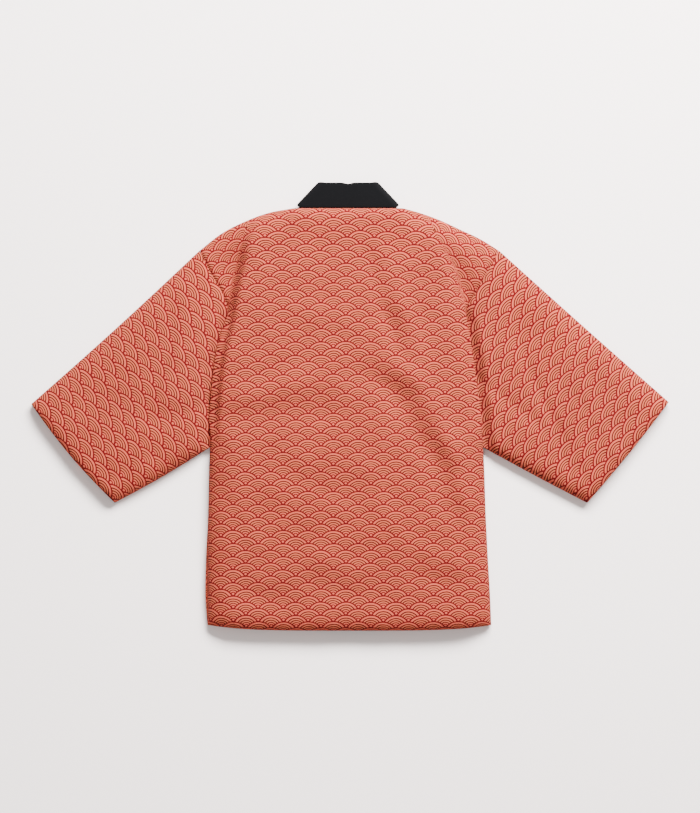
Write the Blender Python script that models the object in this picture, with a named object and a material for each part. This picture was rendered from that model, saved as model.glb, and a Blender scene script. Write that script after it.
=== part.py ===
"""Padded kimono jacket, laid flat on its front with its back up.

Metres, +Z up, collar towards +Y and hem towards -Y. The underside lies on z = 0, and the
origin is on that plane under the middle of the outline. Left and right are the wearer's.
The back and the collar's neck stretch are the upper layer, and the two fronts and the
collar's front stretches are the lower layer. Each sleeve is a flattened tube.
"""
import bpy
import numpy as np

for thing in list(bpy.data.objects):
    bpy.data.objects.remove(thing, do_unlink=True)

# Main sizes of the cut
SEAM_GAP = 0.0003
HEM_Y = -0.394
HEM_CORNER_Y = -0.3845
ARMPIT_Y = -0.072
SHOULDER_TIP_Y = 0.2745
NECK_Y = 0.3485
NECK_MID_X = -0.0035
NECK_HALF_WIDTH = 0.0968
COLLAR_WIDTH = 0.0455

# Layer heights of the padded walls
SEAM_LEVEL = 0.009
FRONT_LEVEL = 0.013
BACK_INSIDE_LEVEL = 0.0165
BACK_LEVEL = 0.036
SLEEVE_LEVEL = 0.028
SLEEVE_SLIT_LEVEL = 0.013
SLEEVE_SLIT = 0.002
COLLAR_THICKNESS = 0.009

# How far each rounding reaches in from its edge
SIDE_REACH = 0.056
SHOULDER_REACH = 0.042
NECK_REACH = 0.016
HEM_REACH = 0.026
UNDER_REACH = 0.012
SLEEVE_REACH = 0.036
CUFF_REACH = 0.016
SEAM_STRIP = 0.012

# Outer edge of the back and the fronts: side seam, then the armhole up to the shoulder tip
BODY_EDGE = np.array([
    # y, left x, right x
    (-0.394, -0.2500, 0.2490),
    (-0.330, -0.2545, 0.2465),
    (-0.270, -0.2534, 0.2430),
    (-0.199, -0.2500, 0.2394),
    (-0.072, -0.2464, 0.2341),
    (0.012, -0.2410, 0.2250),
    (0.100, -0.2300, 0.2125),
    (0.150, -0.2175, 0.2050),
    (0.173, -0.2155, 0.2055),
    (0.200, -0.2250, 0.2205),
    (0.238, -0.2464, 0.2420),
    (0.2745, -0.2645, 0.2620),
])

# Crease where the body bulges over the sleeve, above the place where it leaves the armhole
CREASE = np.array([
    # y, left x, right x
    (-0.394, -0.2500, 0.2490),
    (-0.199, -0.2500, 0.2394),
    (-0.072, -0.2464, 0.2341),
    (0.100, -0.2300, 0.2125),
    (0.150, -0.2165, 0.2050),
    (0.173, -0.2105, 0.2030),
    (0.205, -0.2042, 0.1954),
    (0.244, -0.1943, 0.1840),
    (0.282, -0.1873, 0.1640),
    (0.303, -0.1813, 0.1500),
    (0.349, -0.1700, 0.1350),
])

# Upper outline: shoulder, neck seam, shoulder
SHOULDER_LINE = np.array([
    # x, y
    (-0.2645, 0.2745),
    (-0.2288, 0.3027),
    (-0.1848, 0.3256),
    (-0.1408, 0.3414),
    (-0.1003, 0.3485),
    (0.0933, 0.3485),
    (0.1144, 0.3432),
    (0.1566, 0.3285),
    (0.1936, 0.3115),
    (0.2306, 0.2939),
    (0.2620, 0.2745),
])

# Far corners of each sleeve, and how far its long edges and its cuff bow out of the straight
SLEEVE = {
    "left": {
        "side": -1, "tip": (-0.5610, 0.0045), "corner": (-0.4139, -0.1695),
        "bow": 0.003, "cuff_bow": 0.006,
    },
    "right": {
        "side": 1, "tip": (0.5610, 0.0080), "corner": (0.4171, -0.1695),
        "bow": 0.001, "cuff_bow": 0.0025,
    },
}

# Largest folds of the back: a negative height is a trough, a positive one a ridge
BACK_FOLDS = [
    # name, start x, start y, end x, end y, height, half width
    ("main trough, upper", 0.032, 0.050, 0.080, 0.020, -0.0028, 0.021),
    ("main trough, lower", 0.080, 0.020, 0.160, -0.150, -0.0042, 0.022),
    ("main ridge", 0.112, 0.050, 0.195, -0.140, 0.0034, 0.022),
    ("second trough", 0.062, 0.158, 0.092, 0.090, -0.0028, 0.017),
    ("collar trough", 0.034, 0.294, 0.062, 0.153, -0.0016, 0.018),
    ("left blade crest", -0.190, 0.020, -0.072, 0.048, 0.0024, 0.024),
    ("left blade trough", -0.160, -0.010, -0.010, -0.018, -0.0022, 0.024),
    ("middle low trough", -0.035, -0.290, 0.020, -0.320, -0.0020, 0.024),
    ("right low trough", 0.140, -0.270, 0.180, -0.310, -0.0020, 0.022),
    ("left low trough", -0.190, -0.310, -0.150, -0.330, -0.0018, 0.022),
]

# Folds on the upper layer of a sleeve, in shares of its length and width
SLEEVE_FOLDS = [
    # name, start along, start across, end along, end across, height, half width
    ("elbow trough", 0.30, 0.10, 0.52, 0.62, -0.0022, 0.018),
    ("armpit trough", 0.02, 0.80, 0.40, 0.52, -0.0020, 0.020),
    ("outer ridge", 0.62, 0.20, 0.78, 0.75, 0.0016, 0.022),
]


def ease(t):
    """Smooth step from 0 to 1 as t goes from 0 to 1."""
    t = np.clip(t, 0.0, 1.0)
    return t * t * (3.0 - 2.0 * t)


def rise(distance, reach):
    """Quarter ellipse: 0 at an edge and 1 from reach inwards."""
    short = np.clip(1.0 - np.asarray(distance) / reach, 0.0, 1.0)
    return np.sqrt(1.0 - short * short)


def smooth(knots, values, at):
    """Cubic curve through the knots, with each slope the mean of its neighbours'."""
    slopes = np.gradient(values, knots)
    at = np.clip(at, knots[0], knots[-1])
    i = np.clip(np.searchsorted(knots, at, side="right") - 1, 0, len(knots) - 2)
    step = knots[i + 1] - knots[i]
    t = (at - knots[i]) / step
    return (
        (2 * t**3 - 3 * t**2 + 1) * values[i]
        + (t**3 - 2 * t**2 + t) * step * slopes[i]
        + (3 * t**2 - 2 * t**3) * values[i + 1]
        + (t**3 - t**2) * step * slopes[i + 1]
    )


def edge_x(side, y):
    return smooth(BODY_EDGE[:, 0], BODY_EDGE[:, 1 if side < 0 else 2], y)


def crease_x(side, y):
    return smooth(CREASE[:, 0], CREASE[:, 1 if side < 0 else 2], y)


def shoulder_y(x):
    """Height of the upper outline: a straight neck seam between two smooth shoulders."""
    left, right = SHOULDER_LINE[:5], SHOULDER_LINE[5:]
    return np.where(
        np.asarray(x) < NECK_MID_X,
        smooth(left[:, 0], left[:, 1], x),
        smooth(right[:, 0], right[:, 1], x),
    )


def hem_y(x):
    """The hem hangs lowest in the middle and lifts towards both corners."""
    lift = HEM_CORNER_Y - HEM_Y
    return HEM_Y + lift * np.abs(np.asarray(x) / 0.25) ** 4


def folds_height(folds, x, y):
    """Sum of the folds, each a soft bump along its line that fades out at both ends."""
    total = np.zeros_like(x)
    for _, x0, y0, x1, y1, height, half_width in folds:
        along = np.hypot(x1 - x0, y1 - y0)
        ux, uy = (x1 - x0) / along, (y1 - y0) / along
        run = (x - x0) * ux + (y - y0) * uy
        past = np.maximum(np.maximum(-run, run - along), 0.0)
        across = (y - y0) * ux - (x - x0) * uy
        total += height * np.exp(-((across / half_width) ** 2) - (past / (1.6 * half_width)) ** 2)
    return total


def row_stations():
    """Heights of the grid rows on the outer edge, close together where an edge rounds."""
    near = np.array([0.0, 0.003, 0.010, 0.022, 0.040])
    hem = HEM_CORNER_Y + np.array([0.0, 0.0015, 0.005, 0.012, 0.024])
    side = np.linspace(hem[-1], ARMPIT_Y, 9)[1:-1]
    low = ARMPIT_Y + near
    high = SHOULDER_TIP_Y - near[::-1]
    middle = np.linspace(low[-1], high[0], 8)[1:-1]
    return np.concatenate([hem, side, low, middle, high])


ROWS = row_stations()
ARMHOLE_ROWS = ROWS[ROWS >= ARMPIT_Y - 1e-9][::-1]


def shape_rows(x, x_top):
    """Row heights bent up to the shoulder line at the top and down to the hem at the bottom."""
    y = np.repeat(ROWS[:, None], x.shape[1], axis=1)
    lift = ease((ROWS - 0.02) / (SHOULDER_TIP_Y - 0.02))[:, None]
    sink = ease(1.0 - (ROWS - HEM_CORNER_Y) / 0.06)[:, None]
    y = y + lift * (shoulder_y(x_top)[None, :] - SHOULDER_TIP_Y)
    return y + sink * (hem_y(x) - HEM_CORNER_Y)


def inward_columns(side, shares, least):
    """Columns from the outer edge inwards, the last one past the crease on the shoulder."""
    edge = edge_x(side, ROWS)
    past_crease = np.abs(crease_x(side, ROWS) - edge) / 0.7
    reach = np.maximum(least, past_crease)
    return edge[:, None] - side * reach[:, None] * np.asarray(shares)[None, :]


def edge_distance(x, y):
    """Distance in from the side seam, the armhole or the shoulder, whichever is nearest."""
    left = x - edge_x(-1, np.minimum(y, SHOULDER_TIP_Y))
    right = edge_x(1, np.minimum(y, SHOULDER_TIP_Y)) - x
    over = 0.87 * (shoulder_y(x) - y)
    return np.maximum(np.minimum(np.minimum(left, right), over), 0.0)


def side_drop(side, x, y):
    """How far the back's top falls towards one side, the crease and the shoulder's outer part."""
    inside = -side * (x - crease_x(side, y))
    low = 0.011 + 0.008 * ease((y + 0.09) / 0.06)
    fade = 1.0 - 0.85 * ease((y - 0.20) / 0.12)
    wing = BACK_LEVEL - SLEEVE_LEVEL
    within = fade * (BACK_LEVEL - low) * (1.0 - rise(inside, SIDE_REACH))
    beyond = fade * ((BACK_LEVEL - low) - (SLEEVE_LEVEL - low) * rise(-inside, 0.020))
    beyond = beyond + (1.0 - fade) * wing * ease(-inside / 0.06)
    return np.where(inside >= 0.0, within, beyond)


def back_top(x, y):
    top = BACK_LEVEL - side_drop(-1, x, y) - side_drop(1, x, y)
    top = top + folds_height(BACK_FOLDS, x, y)
    on_shoulder = ease((np.abs(x - NECK_MID_X) - 0.085) / 0.035)
    share = 0.50 - 0.38 * on_shoulder
    reach = NECK_REACH + (SHOULDER_REACH - NECK_REACH) * on_shoulder
    from_top = 0.9 * (shoulder_y(x) - y)
    top = SEAM_LEVEL + (top - SEAM_LEVEL) * (share + (1.0 - share) * rise(from_top, reach))
    inside = back_inside(x, y)
    return inside + (top - inside) * (0.35 + 0.65 * rise(y - hem_y(x), HEM_REACH))


def back_inside(x, y):
    climb = ease((edge_distance(x, y) - SEAM_STRIP) / 0.040)
    return SEAM_LEVEL + SEAM_GAP + (BACK_INSIDE_LEVEL - SEAM_LEVEL) * climb


def front_top(x, y):
    climb = ease((edge_distance(x, y) - SEAM_STRIP) / 0.060)
    turned_in = 0.003 * (1.0 - rise(y - hem_y(x), 0.008))
    return SEAM_LEVEL + (FRONT_LEVEL - SEAM_LEVEL) * climb - turned_in


def front_under(x, y):
    from_edge = np.minimum(edge_distance(x, y), y - hem_y(x))
    return 0.0055 * (1.0 - rise(from_edge, UNDER_REACH))


def material(name, colour, roughness):
    made = bpy.data.materials.new(name)
    made.use_nodes = True
    shader = made.node_tree.nodes["Principled BSDF"]
    shader.inputs["Base Color"].default_value = (*colour, 1.0)
    shader.inputs["Roughness"].default_value = roughness
    shader.inputs["Metallic"].default_value = 0.0
    return made


def add_piece(name, points, faces, colour, roughness):
    """One closed piece, shaded smooth except across its turned edges."""
    mesh = bpy.data.meshes.new(name)
    mesh.from_pydata([tuple(p) for p in points], [], faces)
    mesh.shade_smooth()
    mesh.set_sharp_from_angle(angle=np.radians(50))
    mesh.materials.append(material(name, colour, roughness))
    piece = bpy.data.objects.new(name, mesh)
    bpy.context.scene.collection.objects.link(piece)
    return piece


def wall_faces(rows, columns):
    """Faces of a closed wall: an upper grid, a lower grid and the strip that joins their rims."""
    number = np.arange(rows * columns).reshape(rows, columns)
    upper = [
        (number[i, j], number[i, j + 1], number[i + 1, j + 1], number[i + 1, j])
        for i in range(rows - 1)
        for j in range(columns - 1)
    ]
    count = rows * columns
    lower = [tuple(count + k for k in reversed(face)) for face in upper]
    rim = np.concatenate([number[0, :-1], number[:-1, -1], number[-1, :0:-1], number[:0:-1, 0]])
    strip = [
        (rim[k], count + rim[k], count + rim[(k + 1) % len(rim)], rim[(k + 1) % len(rim)])
        for k in range(len(rim))
    ]
    return [tuple(int(k) for k in face) for face in upper + lower + strip]


def add_wall(name, x, y, under, over, colour, roughness):
    """A padded panel between two heights over one grid, whose columns run towards +X."""
    points = np.concatenate([
        np.stack([x, y, over], axis=-1).reshape(-1, 3),
        np.stack([x, y, under], axis=-1).reshape(-1, 3),
    ])
    return add_piece(name, points, wall_faces(*x.shape), colour, roughness)


def make_back():
    shares = [0.0, 0.03, 0.09, 0.20, 0.34, 0.52, 0.70, 1.0]
    left = inward_columns(-1, shares, 0.056)
    right = inward_columns(1, shares, 0.056)[:, ::-1]
    across = np.linspace(0.0, 1.0, 11)[1:-1]
    middle = left[:, -1:] + (right[:, :1] - left[:, -1:]) * across[None, :]
    x = np.concatenate([left, middle, right], axis=1)
    y = shape_rows(x, x[-1])
    add_wall("back", x, y, back_inside(x, y), back_top(x, y), WAVE_RED, CLOTH_ROUGHNESS)


def make_front(name, side):
    """The front reaches from the side seam to the seam of the collar's front stretch."""
    shares = [0.0, 0.03, 0.09, 0.22, 0.45, 0.75, 1.0]
    outer = inward_columns(side, shares, 0.056)
    opening = front_edge_x(side, shape_rows(outer, outer[-1])[:, -1] + front_lift())
    across = np.linspace(0.0, 1.0, 5)[1:]
    inner = outer[:, -1:] + (opening[:, None] - outer[:, -1:]) * across[None, :]
    x = np.concatenate([outer, inner], axis=1)
    y = shape_rows(x, x[-1])
    x[:, -1] = front_edge_x(side, y[:, -1])
    if side > 0:
        x, y = x[:, ::-1], y[:, ::-1]
    add_wall(name, x, y, front_under(x, y), front_top(x, y), WAVE_RED, CLOTH_ROUGHNESS)


def front_lift():
    """How much higher each row stands at the neck than beside the crease."""
    neck = NECK_Y - shoulder_y(-0.19)
    return ease((ROWS - 0.02) / (SHOULDER_TIP_Y - 0.02)) * neck


def make_sleeve(name, side, tip, corner, bow, cuff_bow):
    """A flattened tube: folded along its upper edge, sewn along the underarm, open at the cuff."""
    along = np.array([0.0, 0.02, 0.05, 0.10, 0.20, 0.34, 0.50, 0.66, 0.80, 0.90, 0.955, 0.988, 1.0])
    v = (SHOULDER_TIP_Y - ARMHOLE_ROWS) / (SHOULDER_TIP_Y - ARMPIT_Y)
    root = np.stack([edge_x(side, ARMHOLE_ROWS) + side * SEAM_GAP, ARMHOLE_ROWS], axis=-1)
    tip, corner = np.array(tip), np.array(corner)
    down = (corner - tip) / np.linalg.norm(corner - tip)
    outward = side * np.array([-down[1], down[0]])

    def place(a, across):
        """Plane position at a share along the sleeve and a share across from its upper fold."""
        a, across = a[..., None], across[..., None]
        on_root = np.stack([np.interp(across[..., 0], v, root[:, k]) for k in (0, 1)], axis=-1)
        hump = bow * np.sin(np.pi * a)
        upper = root[0] + (tip - root[0]) * a + hump * np.array([0.0, -1.0])
        under = root[-1] + (corner - root[-1]) * a + hump * np.array([0.0, -1.0])
        straight = root[0] + (root[-1] - root[0]) * across
        cuff = a**2 * cuff_bow * np.sin(np.pi * across) * outward
        return upper + (under - upper) * across + (1.0 - a) * (on_root - straight) + cuff

    a, w = np.meshgrid(along, v, indexing="ij")
    plane = place(a, w)
    width = np.linalg.norm(plane[:, -1] - plane[:, 0], axis=-1)[:, None]
    length = (1.0 - w) * np.linalg.norm(tip - root[0]) + w * np.linalg.norm(corner - root[-1])
    from_fold, from_seam = w * width, (1.0 - w) * width
    from_root, from_cuff = a * length, (1.0 - a) * length

    top = 0.011 + (SLEEVE_LEVEL - 0.011) * rise(from_fold, SLEEVE_REACH) * rise(from_seam, 0.030)
    tucked = 0.25 + 0.75 * ease((w - 0.20) / 0.15)
    sunk = np.maximum(top - 0.0175, 0.0) * tucked * (1.0 - rise(from_root, 0.024))
    top = top - sunk + sleeve_folds(a, w, width, length)
    top = SLEEVE_SLIT_LEVEL + (top - SLEEVE_SLIT_LEVEL) * (0.42 + 0.58 * rise(from_cuff, CUFF_REACH))
    edge = np.minimum(from_fold, from_seam)
    top = np.where(edge < 1e-6, 0.011, top)
    under = 0.0055 * (1.0 - rise(edge, UNDER_REACH)) + 0.002 * (1.0 - rise(from_cuff, 0.008))

    hem = 0.013 / width
    inner_w = hem + (1.0 - 2.0 * hem) * w
    inner = place(a, inner_w)
    half_slit = 0.5 * SLEEVE_SLIT * (0.3 + 0.7 * np.sin(np.pi * w))
    rings = [
        np.concatenate([plane, plane[:, ::-1]], axis=1),
        np.concatenate([inner, inner[:, ::-1]], axis=1),
    ]
    heights = [
        np.concatenate([top, under[:, ::-1]], axis=1),
        np.concatenate([
            SLEEVE_SLIT_LEVEL + half_slit,
            (SLEEVE_SLIT_LEVEL - half_slit)[:, ::-1],
        ], axis=1),
    ]
    points = np.concatenate([
        np.concatenate([ring, z[..., None]], axis=-1).reshape(-1, 3)
        for ring, z in zip(rings, heights)
    ])
    faces = tube_faces(len(along), 2 * len(v))
    if side < 0:
        faces = [tuple(reversed(face)) for face in faces]
    add_piece(name, points, faces, WAVE_RED, CLOTH_ROUGHNESS)


def sleeve_folds(a, w, width, length):
    """Folds given in shares of the sleeve, measured in its mean length and width."""
    mean_length, mean_width = float(length.mean()), float(width.mean())
    scaled = [
        (name, a0 * mean_length, w0 * mean_width, a1 * mean_length, w1 * mean_width, height, half)
        for name, a0, w0, a1, w1, height, half in SLEEVE_FOLDS
    ]
    return folds_height(scaled, a * mean_length, w * mean_width)


def tube_faces(stations, around):
    """Outer skin, inner skin and the two open ends' rings of a tube with a wall."""
    outer = np.arange(stations * around).reshape(stations, around)
    inner = outer + stations * around
    faces = []
    for i in range(stations - 1):
        for j in range(around):
            k = (j + 1) % around
            faces.append((outer[i, j], outer[i, k], outer[i + 1, k], outer[i + 1, j]))
            faces.append((inner[i, k], inner[i, j], inner[i + 1, j], inner[i + 1, k]))
    for j in range(around):
        k = (j + 1) % around
        faces.append((outer[0, k], outer[0, j], inner[0, j], inner[0, k]))
        faces.append((outer[-1, j], outer[-1, k], inner[-1, k], inner[-1, j]))
    return [tuple(int(n) for n in face) for face in faces]


# The collar band turns from the neck down the fronts over an oblique fold at each neck corner
FOLD_ANGLE = np.radians(46.8)
FOLD_RADIUS = 0.0055
FOLD_DIRECTION = np.array([np.cos(FOLD_ANGLE), np.sin(FOLD_ANGLE)])
FOLD_OUTWARD = np.array([-np.sin(FOLD_ANGLE), np.cos(FOLD_ANGLE)])
FOLD_START = NECK_HALF_WIDTH - (FOLD_RADIUS + COLLAR_THICKNESS / 2) / np.sin(FOLD_ANGLE)
FOLD_CENTRE_Z = COLLAR_THICKNESS / 2 + FOLD_RADIUS
FOLD_LENGTH = np.pi * FOLD_RADIUS


def front_edge_x(side, y):
    """Seam line between a front and the collar's front stretch."""
    lean = 2.0 * FOLD_ANGLE - np.pi / 2.0
    leave = -FOLD_LENGTH / np.tan(FOLD_ANGLE) * FOLD_DIRECTION
    out = FOLD_START - leave[0] - (NECK_Y + leave[1] - y) * np.tan(lean)
    return NECK_MID_X + side * (out + SEAM_GAP)


def fold_band(s, w, lift):
    """Place a point of the flat left half band, s from the centre back and w from its seam.

    Up to the fold line the band lies flat at the upper level. There it rolls round a half
    cylinder whose axis is the fold line, and then it lies flat at the lower level.
    """
    flat = np.stack([FOLD_START - s, w], axis=-1)
    beyond = flat @ FOLD_OUTWARD
    up_line = flat @ FOLD_DIRECTION
    angle = np.clip(beyond / FOLD_RADIUS, 0.0, np.pi)
    reach = np.where(beyond < FOLD_LENGTH, np.minimum(beyond, 0.0), FOLD_LENGTH - beyond)
    reach = reach + (FOLD_RADIUS + lift) * np.sin(angle)
    plane = up_line[..., None] * FOLD_DIRECTION + reach[..., None] * FOLD_OUTWARD
    height = FOLD_CENTRE_Z + (FOLD_RADIUS + lift) * np.cos(angle)
    return plane[..., 0] - FOLD_START, plane[..., 1] + NECK_Y, height


def collar_profile():
    """Rounded section of the band: shares of its width, and heights from its middle."""
    half, turn = COLLAR_THICKNESS / 2, 0.09
    share = np.array([0.0, turn / 2, 0.5, 1 - turn, 1.0, 1.0, 1 - turn, 0.5, turn / 2, 0.0])
    lift = half * np.array([0.6, 1.0, 1.0, 1.0, 0.45, -0.45, -1.0, -1.0, -1.0, -0.6])
    return share, lift


def make_collar():
    tan = np.tan(FOLD_ANGLE)
    in_fold = FOLD_LENGTH / np.sin(FOLD_ANGLE)
    after = FOLD_START + in_fold
    front_length = (NECK_Y - HEM_CORNER_Y) / np.cos(2.0 * FOLD_ANGLE - np.pi / 2.0)
    last = FOLD_START + 0.5 * in_fold + front_length - 0.010
    seam_s = np.concatenate([
        np.linspace(0.0, FOLD_START, 8),
        FOLD_START + in_fold * np.linspace(0.0, 1.0, 7)[1:],
        after + np.array([0.012, 0.030, 0.060, 0.110]),
        np.linspace(after + 0.110, last, 7)[1:],
    ])
    skew = np.interp(seam_s, [0.0, FOLD_START, after + 0.012, after + 0.110], [0, -1, -1, 0]) / tan
    turned = np.clip((seam_s - FOLD_START) / in_fold, 0.0, 1.0) * np.pi
    inner_radius = FOLD_RADIUS - COLLAR_THICKNESS / 2
    clear = np.cos(FOLD_ANGLE) * (FOLD_RADIUS * turned - inner_radius * np.sin(turned))
    clear = clear * (1.0 - ease((seam_s - after) / 0.030))
    dip = 0.0022 * np.exp(-((seam_s / 0.014) ** 2))
    share, lift = collar_profile()
    low = (SEAM_GAP + clear)[:, None]
    w = low + (COLLAR_WIDTH - dip[:, None] - low) * share[None, :]
    s = seam_s[:, None] + skew[:, None] * w
    x, y, z = fold_band(s, w, np.broadcast_to(lift[None, :], s.shape))
    half = np.stack([x, y, z], axis=-1)
    mirrored = half[:0:-1] * np.array([-1.0, 1.0, 1.0])
    band = np.concatenate([mirrored, half]) + np.array([NECK_MID_X, 0.0, 0.0])
    stations, around = band.shape[:2]
    number = np.arange(stations * around).reshape(stations, around)
    faces = [tuple(int(k) for k in number[0, ::-1]), tuple(int(k) for k in number[-1])]
    for i in range(stations - 1):
        for j in range(around):
            k = (j + 1) % around
            quad = (number[i, j], number[i, k], number[i + 1, k], number[i + 1, j])
            faces.append(tuple(int(n) for n in quad))
    add_piece("collar", band.reshape(-1, 3), faces, COLLAR_BLACK, COLLAR_ROUGHNESS)


WAVE_RED = (0.55, 0.13, 0.09)
COLLAR_BLACK = (0.013, 0.013, 0.015)
CLOTH_ROUGHNESS = 0.85
COLLAR_ROUGHNESS = 0.75

make_back()
make_front("front_left", -1)
make_front("front_right", 1)
for label, cut in SLEEVE.items():
    make_sleeve(
        "sleeve_" + label, cut["side"], cut["tip"], cut["corner"], cut["bow"], cut["cuff_bow"]
    )
make_collar()
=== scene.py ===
"""Looks of a padded kimono jacket, laid flat on its front with its back up."""

import bpy
import numpy as np
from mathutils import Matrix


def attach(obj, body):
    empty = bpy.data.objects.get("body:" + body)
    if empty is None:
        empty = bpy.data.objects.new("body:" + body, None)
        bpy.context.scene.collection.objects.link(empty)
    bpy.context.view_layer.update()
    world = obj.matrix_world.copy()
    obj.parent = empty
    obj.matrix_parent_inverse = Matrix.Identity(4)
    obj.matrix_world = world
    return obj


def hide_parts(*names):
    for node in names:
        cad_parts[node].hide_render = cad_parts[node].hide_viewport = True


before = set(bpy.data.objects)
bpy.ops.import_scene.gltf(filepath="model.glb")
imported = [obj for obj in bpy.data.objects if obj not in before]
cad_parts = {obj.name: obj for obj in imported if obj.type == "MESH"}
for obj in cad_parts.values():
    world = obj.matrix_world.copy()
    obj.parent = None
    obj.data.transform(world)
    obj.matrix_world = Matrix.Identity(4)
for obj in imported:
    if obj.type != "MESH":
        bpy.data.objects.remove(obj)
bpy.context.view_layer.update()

# The view: straight down on the laid-out jacket, far away with a long lens, so that it
# shows no convergence. The floor is a plain pale sheet. One wide soft light stands beyond
# the collar, a little to the right, and a weak one fills from the hem.
VIEW_HEIGHT = 1.431
CAMERA_DISTANCE = 7.0
SENSOR_HEIGHT = 0.024
MM_TO_LENS = 1000.0
FLOOR_COLOUR = (0.94, 0.85, 0.825)

camera = bpy.data.cameras.new("camera")
camera.sensor_fit = "VERTICAL"
camera.sensor_height = SENSOR_HEIGHT * MM_TO_LENS
camera.lens = SENSOR_HEIGHT * CAMERA_DISTANCE / VIEW_HEIGHT * MM_TO_LENS
camera.clip_end = 50.0
viewer = bpy.data.objects.new("camera", camera)
viewer.location = (0.0, 0.0, CAMERA_DISTANCE + 0.01)
bpy.context.scene.collection.objects.link(viewer)
bpy.context.scene.camera = viewer


def soft_light(name, place, aim, size, power):
    """An oblong softbox at a place, turned to face its aim, with its long side level."""
    lamp = bpy.data.lights.new(name, "AREA")
    lamp.shape = "RECTANGLE"
    lamp.size, lamp.size_y = size
    lamp.energy = power
    box = bpy.data.objects.new(name, lamp)
    box.location = place
    towards = np.array(aim) - np.array(place)
    flat = np.hypot(towards[0], towards[1])
    box.rotation_euler = (np.arctan2(flat, -towards[2]), 0.0, np.arctan2(-towards[0], towards[1]))
    bpy.context.scene.collection.objects.link(box)


soft_light("key softbox", (0.95, 2.5, 2.35), (0.0, 0.0, 0.0), (2.8, 1.2), 880.0)
soft_light("fill softbox", (-1.2, -2.2, 3.2), (0.0, -0.4, 0.0), (2.4, 2.4), 30.0)

world = bpy.data.worlds.new("studio")
world.use_nodes = True
world.node_tree.nodes["Background"].inputs["Color"].default_value = (1.0, 0.985, 0.975, 1.0)
world.node_tree.nodes["Background"].inputs["Strength"].default_value = 0.60
bpy.context.scene.world = world

sheet_half = 6.0
floor_mesh = bpy.data.meshes.new("floor")
floor_mesh.from_pydata(
    [(-sheet_half, -sheet_half, 0.0), (sheet_half, -sheet_half, 0.0),
     (sheet_half, sheet_half, 0.0), (-sheet_half, sheet_half, 0.0)],
    [], [(0, 1, 2, 3)],
)
floor_paint = bpy.data.materials.new("pale floor")
floor_paint.use_nodes = True
paint = floor_paint.node_tree.nodes["Principled BSDF"]
paint.inputs["Base Color"].default_value = (*FLOOR_COLOUR, 1.0)
paint.inputs["Roughness"].default_value = 0.9
paint.inputs["Specular IOR Level"].default_value = 0.2
floor_mesh.materials.append(floor_paint)
floor = bpy.data.objects.new("floor", floor_mesh)
bpy.context.scene.collection.objects.link(floor)


# The printed cotton: a plain weave in red, printed with the traditional overlapping wave
# scallop in salmon and cream. Rows of scallops stand half a pitch apart, and each lower row
# lies in front. The print follows the cloth, so it reads each piece's own map in metres.
PITCH = 0.0440
ROW_RISE = 0.01144
MOTIF_HALF_WIDTH = 0.0238
MOTIF_HEIGHT = 0.0202
PRINT_START = np.array([0.0292, 0.0082])
STRAY = 0.0026
STRAY_SCALE = 32.0
THREAD = 0.00055
SLUB_SCALE = 420.0
SLUB_HEIGHT = 1.6
UNEVEN_SCALE = 14.0
WEAVE_DEPTH = 0.00012

GROUND_RED = (0.074, 0.0026, 0.0034)
LINE_RED = (0.036, 0.0036, 0.0026)
RING_CREAM = (0.360, 0.070, 0.035)
BAND_SALMON = (0.372, 0.060, 0.035)
RING_TABLE = [
    # outer radius as a share of the motif, colour
    (0.090, BAND_SALMON),
    (0.175, GROUND_RED),
    (0.275, BAND_SALMON),
    (0.360, LINE_RED),
    (0.460, RING_CREAM),
    (0.550, LINE_RED),
    (0.650, RING_CREAM),
    (0.745, LINE_RED),
    (0.890, BAND_SALMON),
    (1.000, GROUND_RED),
]
INK_BLEED = 0.008


class Wiring:
    """Adds nodes to a tree and joins them. A number or a socket may feed any input."""

    def __init__(self, tree):
        self.tree = tree

    def feed(self, socket, value):
        """Join an input to another node's socket, or set it to a plain value."""
        if isinstance(value, bpy.types.NodeSocket):
            self.tree.links.new(value, socket)
        else:
            socket.default_value = value

    def node(self, kind, inputs=None, **settings):
        """A new node with its settings made and its inputs fed."""
        made = self.tree.nodes.new(kind)
        for name, value in settings.items():
            setattr(made, name, value)
        for key, value in (inputs or {}).items():
            self.feed(made.inputs[key], value)
        return made

    def math(self, operation, *values):
        """The output of one sum on numbers or sockets."""
        made = self.node("ShaderNodeMath", operation=operation)
        for socket, value in zip(made.inputs, values):
            self.feed(socket, value)
        return made.outputs[0]

    def ramp(self, factor, stops):
        """A colour ramp through stops, each a place from 0 to 1 and a colour."""
        made = self.node("ShaderNodeValToRGB", {"Fac": factor})
        elements = made.color_ramp.elements
        for place, colour in stops[1:-1]:
            elements.new(place).color = colour
        elements[0].position, elements[0].color = stops[0]
        elements[-1].position, elements[-1].color = stops[-1]
        return made.outputs["Color"]


def new_group(name, inputs, outputs):
    """A shader node group with named sockets, and the wiring inside it."""
    group = bpy.data.node_groups.new(name, "ShaderNodeTree")
    for label, kind, value in inputs:
        made = group.interface.new_socket(label, in_out="INPUT", socket_type=kind)
        if value is not None:
            made.default_value = value
    for label, kind in outputs:
        group.interface.new_socket(label, in_out="OUTPUT", socket_type=kind)
    return group, Wiring(group), group.nodes.new("NodeGroupInput"), group.nodes.new("NodeGroupOutput")


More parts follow.
